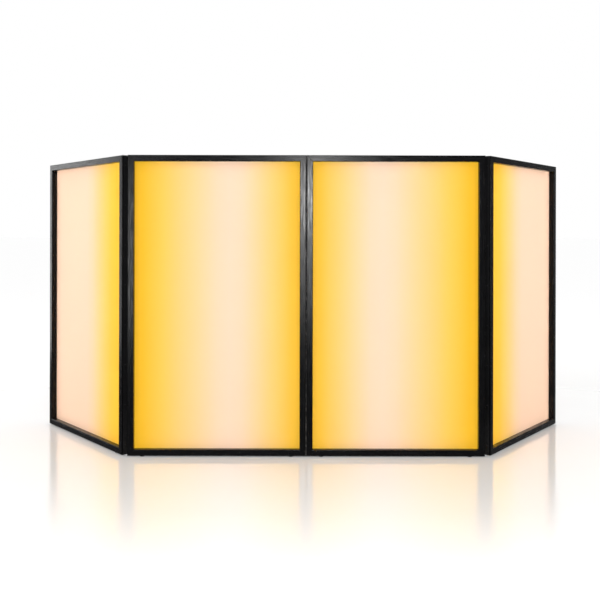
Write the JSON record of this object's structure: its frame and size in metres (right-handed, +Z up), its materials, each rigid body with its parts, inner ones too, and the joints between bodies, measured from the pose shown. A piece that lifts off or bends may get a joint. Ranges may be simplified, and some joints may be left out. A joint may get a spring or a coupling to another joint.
{
  "type": "folding welding screen",
  "caption": "Free-standing folding screen of square-tube framed panels with taut amber sheets, joined by continuous hinges; the middle panels stand in line and the wings fold back.",
  "frame": {"origin": "middle of the standing screen's bounding box, on the floor", "axes": "+X along the two middle panels to the right, +Y from their front towards the wings' far ends, +Z up"},
  "size_m": [2.3924, 0.605, 1.219],
  "materials": {
    "frame_black": "satin black powder coat on square steel tube",
    "strip_black": "satin black powder coat on flat bar",
    "hinge_black": "black finished steel, lightly worn at the knuckles",
    "pin_steel": "drawn steel wire",
    "screw_steel": "dark zinc plated steel",
    "tinted_sheet": "taut translucent vinyl, amber at the sides of the screen's panels and cream elsewhere",
    "glide_plastic": "black moulded nylon"
  },
  "bodies": {
    "left_wing": {"left_wing_top_rail": "frame_black", "left_wing_bottom_rail": "frame_black", "left_wing_inner_stile": "frame_black", "left_wing_outer_stile": "frame_black", "left_wing_sheet": "tinted_sheet", "left_wing_top_strip": "strip_black", "left_wing_bottom_strip": "strip_black", "left_wing_inner_strip": "strip_black", "left_wing_outer_strip": "strip_black", "left_wing_strip_screws": "screw_steel", "left_wing_feet": "glide_plastic", "left_hinge_wing_leaf": "hinge_black", "left_hinge_wing_screws": "screw_steel"},
    "left_middle": {"left_middle_top_rail": "frame_black", "left_middle_bottom_rail": "frame_black", "left_middle_inner_stile": "frame_black", "left_middle_outer_stile": "frame_black", "left_middle_sheet": "tinted_sheet", "left_middle_top_strip": "strip_black", "left_middle_bottom_strip": "strip_black", "left_middle_inner_strip": "strip_black", "left_middle_outer_strip": "strip_black", "left_middle_strip_screws": "screw_steel", "left_middle_feet": "glide_plastic", "left_hinge_middle_leaf": "hinge_black", "left_hinge_pin": "pin_steel", "left_hinge_middle_screws": "screw_steel", "centre_hinge_left_leaf": "hinge_black", "centre_hinge_pin": "pin_steel", "centre_hinge_left_screws": "screw_steel"},
    "right_middle": {"right_middle_top_rail": "frame_black", "right_middle_bottom_rail": "frame_black", "right_middle_inner_stile": "frame_black", "right_middle_outer_stile": "frame_black", "right_middle_sheet": "tinted_sheet", "right_middle_top_strip": "strip_black", "right_middle_bottom_strip": "strip_black", "right_middle_inner_strip": "strip_black", "right_middle_outer_strip": "strip_black", "right_middle_strip_screws": "screw_steel", "right_middle_feet": "glide_plastic", "right_hinge_middle_leaf": "hinge_black", "right_hinge_pin": "pin_steel", "right_hinge_middle_screws": "screw_steel", "centre_hinge_right_leaf": "hinge_black", "centre_hinge_right_screws": "screw_steel"},
    "right_wing": {"right_wing_top_rail": "frame_black", "right_wing_bottom_rail": "frame_black", "right_wing_inner_stile": "frame_black", "right_wing_outer_stile": "frame_black", "right_wing_sheet": "tinted_sheet", "right_wing_top_strip": "strip_black", "right_wing_bottom_strip": "strip_black", "right_wing_inner_strip": "strip_black", "right_wing_outer_strip": "strip_black", "right_wing_strip_screws": "screw_steel", "right_wing_feet": "glide_plastic", "right_hinge_wing_leaf": "hinge_black", "right_hinge_wing_screws": "screw_steel"}
  },
  "joints": [
    {"name": "left_fold", "type": "hinge", "parent": "left_middle", "child": "left_wing", "pos_m": [-0.71475, -0.2679, 0.611], "axis": [0, 0, -1], "range_deg": [-50.5, 129.5]},
    {"name": "centre_fold", "type": "hinge", "parent": "left_middle", "child": "right_middle", "pos_m": [0.00955, -0.29995, 0.611], "axis": [0, 0, -1], "range_deg": [0, 180]},
    {"name": "right_fold", "type": "hinge", "parent": "right_middle", "child": "right_wing", "pos_m": [0.73385, -0.2679, 0.611], "axis": [0, 0, 1], "range_deg": [-52.5, 127.5]}
  ]
}
